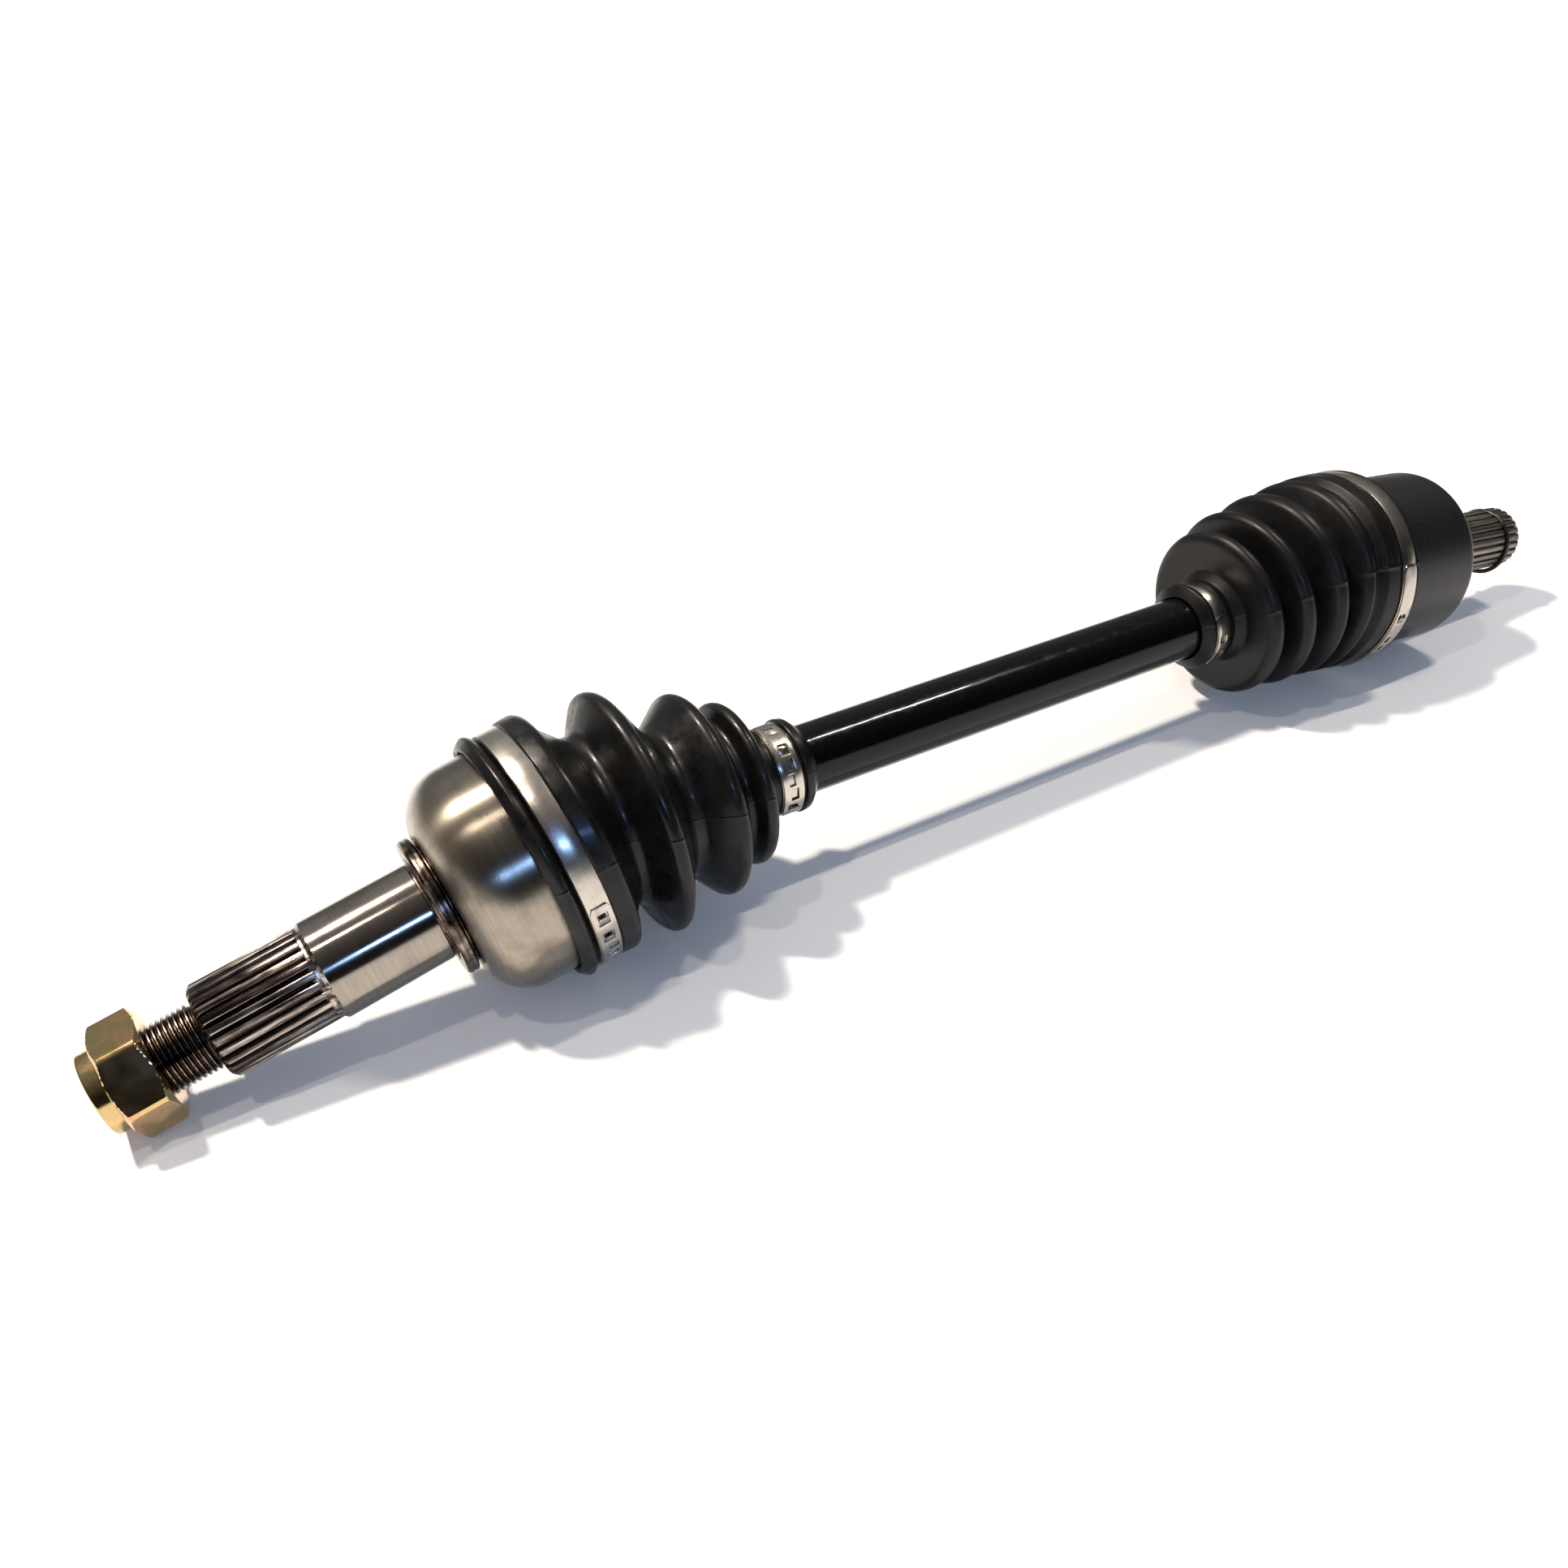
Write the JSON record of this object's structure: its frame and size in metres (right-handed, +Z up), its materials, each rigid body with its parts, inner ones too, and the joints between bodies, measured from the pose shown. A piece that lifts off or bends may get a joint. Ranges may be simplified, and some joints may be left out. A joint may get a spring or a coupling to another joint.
{
  "type": "cv axle",
  "caption": "Half shaft with a fixed ball joint and splined, threaded stub at the wheel end and a plunging ball joint with a splined stub at the inner end, under bellows.",
  "frame": {"origin": "on the stub axle's axis, in the plane of the shoulder that the hub seats against, where the bearing journal ends", "axes": "+X from the wheel end to the differential end, level with the ground the axle lies on; +Z up; both joints droop in the XZ plane"},
  "size_m": [0.5561, 0.0778, 0.0809],
  "materials": {
    "forged_steel": "turned and ground, lightly oiled",
    "zinc_nut": "yellow zinc over steel",
    "black_painted_steel": "gloss black enamel",
    "satin_black_steel": "satin black phosphate and paint",
    "boot_rubber": "moulded rubber, lightly oiled",
    "stainless_band": "bright rolled strip",
    "bearing_steel": "ground and hardened",
    "spring_wire": "oiled spring wire"
  },
  "bodies": {
    "bar": {"axle_shaft": "black_painted_steel", "outboard_inner_race": "bearing_steel", "outboard_shaft_circlip": "spring_wire", "outboard_small_clamp": "stainless_band", "inboard_small_clamp": "stainless_band", "inboard_inner_race": "bearing_steel", "inboard_shaft_circlip": "spring_wire"},
    "outboard_top_ball": {"outboard_ball_1": "bearing_steel"},
    "outboard_cage_set": {"outboard_cage": "bearing_steel", "outboard_ball_2": "bearing_steel", "outboard_ball_3": "bearing_steel", "outboard_ball_5": "bearing_steel", "outboard_ball_6": "bearing_steel"},
    "outboard_bottom_ball": {"outboard_ball_4": "bearing_steel"},
    "stub_axle": {"outboard_housing": "forged_steel", "hub_nut": "zinc_nut", "outboard_boot": "boot_rubber", "outboard_large_clamp": "stainless_band"},
    "inboard_top_ball": {"inboard_ball_1": "bearing_steel"},
    "inboard_cage_set": {"inboard_cage": "bearing_steel", "inboard_ball_2": "bearing_steel", "inboard_ball_3": "bearing_steel", "inboard_ball_5": "bearing_steel", "inboard_ball_6": "bearing_steel"},
    "inboard_bottom_ball": {"inboard_ball_4": "bearing_steel"},
    "inboard_bellows": {"inboard_boot": "boot_rubber"},
    "differential_cup": {"inboard_cup": "satin_black_steel", "inboard_large_clamp": "stainless_band", "inboard_stop_ring": "spring_wire", "inboard_stub_circlip": "spring_wire"}
  },
  "joints": [
    {"name": "outboard_drop_inner", "type": "hinge", "parent": "bar", "child": "outboard_top_ball", "pos_m": [0.03041, 0, 0.00602], "axis": [0, -1, 0], "range_deg": [-15.9, 4.1], "deforming": ["outboard_boot"]},
    {"name": "outboard_steer_inner", "type": "hinge", "parent": "outboard_top_ball", "child": "outboard_cage_set", "pos_m": [0.03041, 0, 0.00602], "axis": [-0.0924, 0, 0.9957], "range_deg": [-19, 19], "deforming": ["outboard_boot"]},
    {"name": "outboard_steer_outer", "type": "hinge", "parent": "outboard_cage_set", "child": "outboard_bottom_ball", "pos_m": [0.03041, 0, 0.00602], "axis": [-0.0924, 0, 0.9957], "range_deg": [-19, 19], "deforming": ["outboard_boot"]},
    {"name": "outboard_drop_outer", "type": "hinge", "parent": "outboard_bottom_ball", "child": "stub_axle", "pos_m": [0.03041, 0, 0.00602], "axis": [0, -1, 0], "range_deg": [-15.9, 4.1], "deforming": ["outboard_boot"]},
    {"name": "inboard_drop_inner", "type": "hinge", "parent": "bar", "child": "inboard_top_ball", "pos_m": [0.38239, 0, 0.00234], "axis": [0, 1, 0], "range_deg": [-10.7, 4.3], "deforming": ["inboard_boot"]},
    {"name": "inboard_swing_inner", "type": "hinge", "parent": "inboard_top_ball", "child": "inboard_cage_set", "pos_m": [0.38239, 0, 0.00234], "axis": [0.0663, 0, 0.9978], "range_deg": [-7.5, 7.5], "deforming": ["inboard_boot"]},
    {"name": "inboard_swing_outer", "type": "hinge", "parent": "inboard_cage_set", "child": "inboard_bottom_ball", "pos_m": [0.38239, 0, 0.00234], "axis": [0.0663, 0, 0.9978], "range_deg": [-7.5, 7.5], "deforming": ["inboard_boot"]},
    {"name": "inboard_drop_outer", "type": "hinge", "parent": "inboard_bottom_ball", "child": "inboard_bellows", "pos_m": [0.38239, 0, 0.00234], "axis": [0, 1, 0], "range_deg": [-10.7, 4.3], "deforming": ["inboard_boot"]},
    {"name": "inboard_plunge", "type": "slide", "parent": "inboard_bellows", "child": "differential_cup", "axis": [0.9925, 0, -0.1219], "range_m": [0, 0.018], "deforming": ["inboard_boot"]}
  ],
  "couplings": [
    {"joint": "outboard_steer_outer", "follows": "outboard_steer_inner", "ratio": 1},
    {"joint": "outboard_drop_outer", "follows": "outboard_drop_inner", "ratio": 1},
    {"joint": "inboard_swing_outer", "follows": "inboard_swing_inner", "ratio": 1},
    {"joint": "inboard_drop_outer", "follows": "inboard_drop_inner", "ratio": 1}
  ]
}
